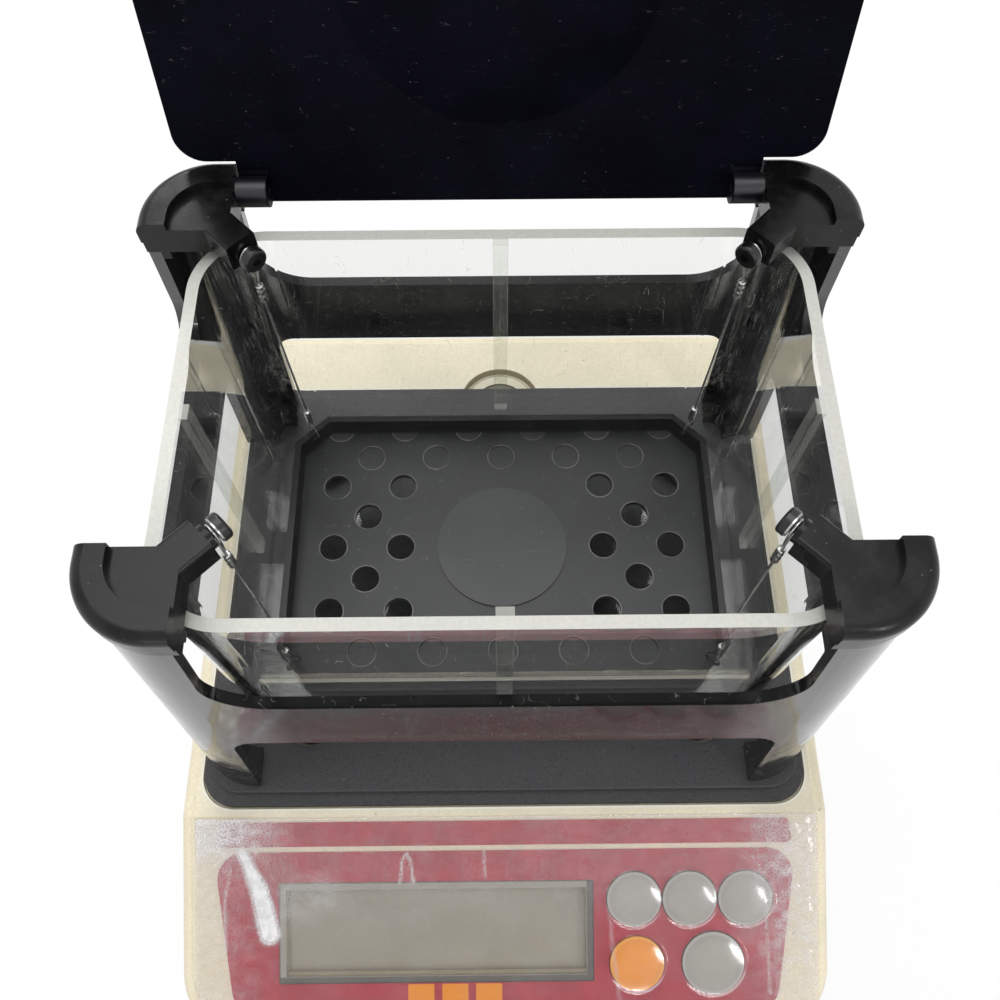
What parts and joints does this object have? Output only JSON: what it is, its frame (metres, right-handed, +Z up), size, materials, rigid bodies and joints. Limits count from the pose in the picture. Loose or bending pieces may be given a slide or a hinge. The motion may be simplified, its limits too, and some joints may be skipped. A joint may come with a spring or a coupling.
{
  "type": "electronic gold tester",
  "caption": "Bench balance that finds the density of precious metal: display and keys, weighing plate, lift-off frame with a hinged lid, and a tray hung in a clear water tank.",
  "frame": {"origin": "centre of the housing's footprint, on the surface that the feet stand on", "axes": "+X to the right for someone at the keys, +Y to the back, +Z up"},
  "size_m": [0.195, 0.236, 0.2688],
  "materials": {
    "ivory_plastic": "fine satin texture",
    "maroon_overlay": "printed film, glossy",
    "window": "clear, glossy",
    "lcd_glass": "grey-green display glass",
    "black_plastic": "matt",
    "circuit_board": "coated board",
    "screw_steel": "plated steel",
    "aluminium": "machined",
    "level_plastic": "glossy",
    "level_glass": "clear, liquid filled",
    "pillar_plastic": "satin",
    "clear_acrylic": "clear with milky sawn edges",
    "plate_black": "fine leather grain",
    "frame_gloss_black": "glossy moulded plastic",
    "cap_black": "satin",
    "black_screw": "black oxide",
    "lid_black": "satin gloss with fine scratches",
    "tray_black": "satin, wet look",
    "wire_steel": "bright drawn",
    "key_grey": "glossy dome",
    "key_orange": "glossy dome",
    "foot_plastic": "matt",
    "foot_rubber": "matt"
  },
  "bodies": {
    "housing": {"housing_cover": "ivory_plastic", "housing_base": "ivory_plastic", "housing_screws": "screw_steel", "overlay_strip": "maroon_overlay", "panel_overlay": "maroon_overlay", "lcd_window": "window", "lcd_frame": "black_plastic", "lcd_glass": "lcd_glass", "main_board": "circuit_board", "board_screws": "screw_steel", "key_switches": "black_plastic", "power_jack": "black_plastic", "load_cell": "aluminium", "load_cell_mount": "aluminium", "level_bezel": "level_plastic", "level_vial": "level_glass", "tank_pillars": "pillar_plastic", "pillar_pads": "foot_rubber", "tank": "clear_acrylic", "tank_strips": "clear_acrylic"},
    "plate": {"weighing_plate": "plate_black", "pan_support": "black_plastic"},
    "frame": {"frame_wall": "frame_gloss_black", "cap_front_left": "cap_black", "cap_rear_left": "cap_black", "cap_front_right": "cap_black", "cap_rear_right": "cap_black", "hanger_screws": "black_screw", "hanger_washers": "screw_steel", "hinge_pins": "screw_steel"},
    "lid": {"lid": "lid_black"},
    "left_wires": {"wire_front_left": "wire_steel", "wire_rear_left": "wire_steel"},
    "right_wires": {"wire_front_right": "wire_steel", "wire_rear_right": "wire_steel"},
    "tray": {"tray": "tray_black"},
    "key_left": {"key_left": "key_grey"},
    "key_middle": {"key_middle": "key_grey"},
    "key_right": {"key_right": "key_grey"},
    "key_orange": {"key_orange": "key_orange"},
    "key_large": {"key_large": "key_grey"},
    "foot_front_left": {"foot_front_left": "foot_plastic", "foot_pad_front_left": "foot_rubber"},
    "foot_rear_left": {"foot_rear_left": "foot_plastic", "foot_pad_rear_left": "foot_rubber"},
    "foot_front_right": {"foot_front_right": "foot_plastic", "foot_pad_front_right": "foot_rubber"},
    "foot_rear_right": {"foot_rear_right": "foot_plastic", "foot_pad_rear_right": "foot_rubber"}
  },
  "joints": [
    {"name": "plate_deflection", "type": "slide", "parent": "housing", "child": "plate", "axis": [0, 0, -1], "range_m": [0, 0.0003], "stiffness_N_per_m": 20000, "springref_m": -0.0003},
    {"name": "frame_lift", "type": "slide", "parent": "plate", "child": "frame", "axis": [0, 0, 1], "range_m": [0, 0.125]},
    {"name": "lid_hinge", "type": "hinge", "parent": "frame", "child": "lid", "pos_m": [0, 0.0742, 0.1643], "axis": [1, 0, 0], "range_deg": [0, 104]},
    {"name": "left_wire_swing", "type": "hinge", "parent": "frame", "child": "left_wires", "pos_m": [-0.06023, 0.01875, 0.1636], "axis": [0, 1, 0], "range_deg": [-3, 3]},
    {"name": "right_wire_swing", "type": "hinge", "parent": "frame", "child": "right_wires", "pos_m": [0.06023, 0.01875, 0.1636], "axis": [0, 1, 0], "range_deg": [-3, 3]},
    {"name": "tray_level", "type": "hinge", "parent": "left_wires", "child": "tray", "pos_m": [-0.06023, 0.01875, 0.0778], "axis": [0, 1, 0], "range_deg": [-3, 3]},
    {"name": "key_left_press", "type": "slide", "parent": "housing", "child": "key_left", "axis": [0, 0.4226, -0.9063], "range_m": [0, 0.0006], "stiffness_N_per_m": 2500},
    {"name": "key_middle_press", "type": "slide", "parent": "housing", "child": "key_middle", "axis": [0, 0.4226, -0.9063], "range_m": [0, 0.0006], "stiffness_N_per_m": 2500},
    {"name": "key_right_press", "type": "slide", "parent": "housing", "child": "key_right", "axis": [0, 0.4226, -0.9063], "range_m": [0, 0.0006], "stiffness_N_per_m": 2500},
    {"name": "key_orange_press", "type": "slide", "parent": "housing", "child": "key_orange", "axis": [0, 0.4226, -0.9063], "range_m": [0, 0.0006], "stiffness_N_per_m": 2500},
    {"name": "key_large_press", "type": "slide", "parent": "housing", "child": "key_large", "axis": [0, 0.4226, -0.9063], "range_m": [0, 0.0006], "stiffness_N_per_m": 2500},
    {"name": "foot_front_left_screw", "type": "slide", "parent": "housing", "child": "foot_front_left", "axis": [0, 0, -1], "range_m": [0, 0.004]},
    {"name": "foot_rear_left_screw", "type": "slide", "parent": "housing", "child": "foot_rear_left", "axis": [0, 0, -1], "range_m": [0, 0.004]},
    {"name": "foot_front_right_screw", "type": "slide", "parent": "housing", "child": "foot_front_right", "axis": [0, 0, -1], "range_m": [0, 0.004]},
    {"name": "foot_rear_right_screw", "type": "slide", "parent": "housing", "child": "foot_rear_right", "axis": [0, 0, -1], "range_m": [0, 0.004]}
  ],
  "couplings": [
    {"joint": "right_wire_swing", "follows": "left_wire_swing", "ratio": 1},
    {"joint": "tray_level", "follows": "left_wire_swing", "ratio": -1}
  ]
}
